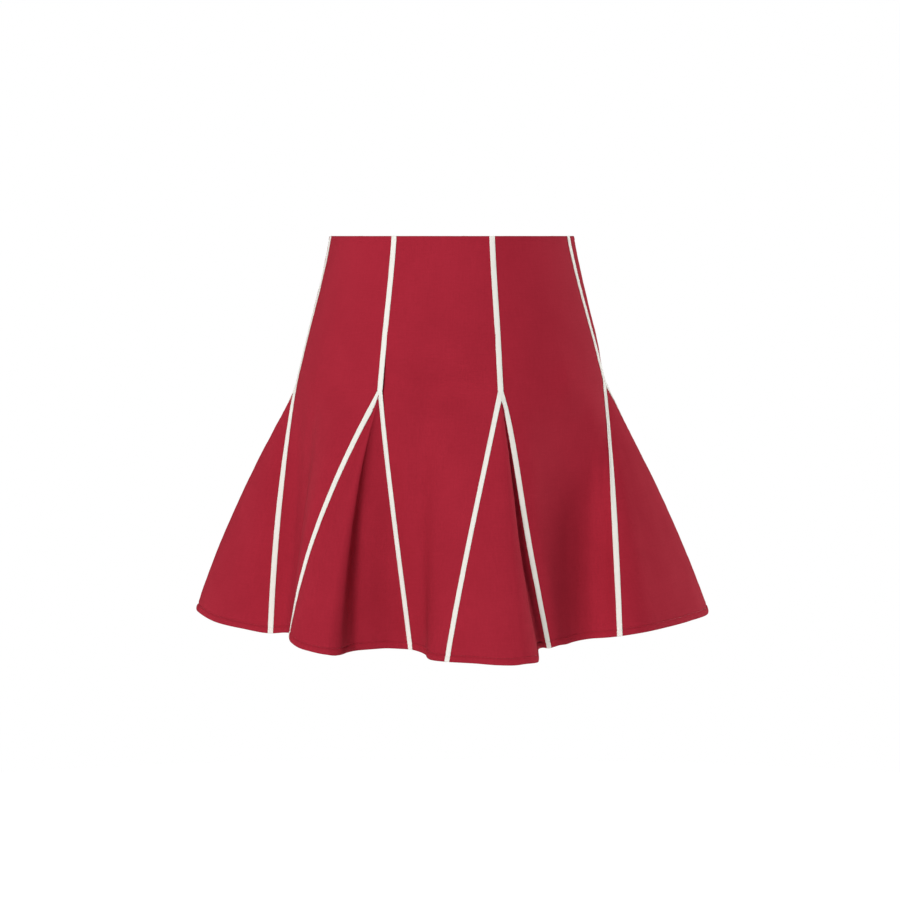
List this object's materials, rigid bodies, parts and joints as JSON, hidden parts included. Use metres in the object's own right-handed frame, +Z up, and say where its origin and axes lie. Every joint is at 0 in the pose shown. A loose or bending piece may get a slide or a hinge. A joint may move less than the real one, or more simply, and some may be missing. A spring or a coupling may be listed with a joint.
{
  "type": "gored godet mini skirt",
  "caption": "Hollow, worn-shape mini skirt of flared gores with a godet let into each seam, contrast tape over the seams and a back zip whose pull swings.",
  "frame": {"origin": "centre of the waist opening, on the plane of the top edge", "axes": "+Z up, -Y the front of the skirt, +X the right side as seen from the front"},
  "size_m": [0.5115, 0.3947, 0.4068],
  "materials": {
    "red_twill": "matt crimson cotton twill",
    "ivory_tape": "matt off-white woven tape",
    "zip_tape": "matt crimson zip tape",
    "zip_lacquer": "satin crimson lacquer"
  },
  "bodies": {
    "skirt": {"godet_back": "red_twill", "godet_back_left": "red_twill", "godet_back_right": "red_twill", "godet_front_left": "red_twill", "godet_front_right": "red_twill", "godet_side_left": "red_twill", "godet_side_right": "red_twill", "gore_back_left": "red_twill", "gore_back_right": "red_twill", "gore_front": "red_twill", "gore_front_left": "red_twill", "gore_front_right": "red_twill", "gore_side_left": "red_twill", "gore_side_right": "red_twill", "tape_back": "ivory_tape", "tape_back_left": "ivory_tape", "tape_back_right": "ivory_tape", "tape_front_left": "ivory_tape", "tape_front_right": "ivory_tape", "tape_leg_back": "ivory_tape", "tape_leg_back_left": "ivory_tape", "tape_leg_back_right": "ivory_tape", "tape_leg_front_left": "ivory_tape", "tape_leg_front_right": "ivory_tape", "tape_leg_side_left": "ivory_tape", "tape_leg_side_right": "ivory_tape", "tape_side_left": "ivory_tape", "tape_side_right": "ivory_tape", "zip_slider": "zip_lacquer", "zip_tape": "zip_tape"},
    "pull": {"zip_pull": "zip_lacquer"}
  },
  "joints": [
    {"name": "zip_pull_swing", "type": "hinge", "parent": "skirt", "child": "pull", "pos_m": [0, 0.09207, -0.00629], "axis": [1, 0, 0], "range_deg": [0, 150]}
  ]
}
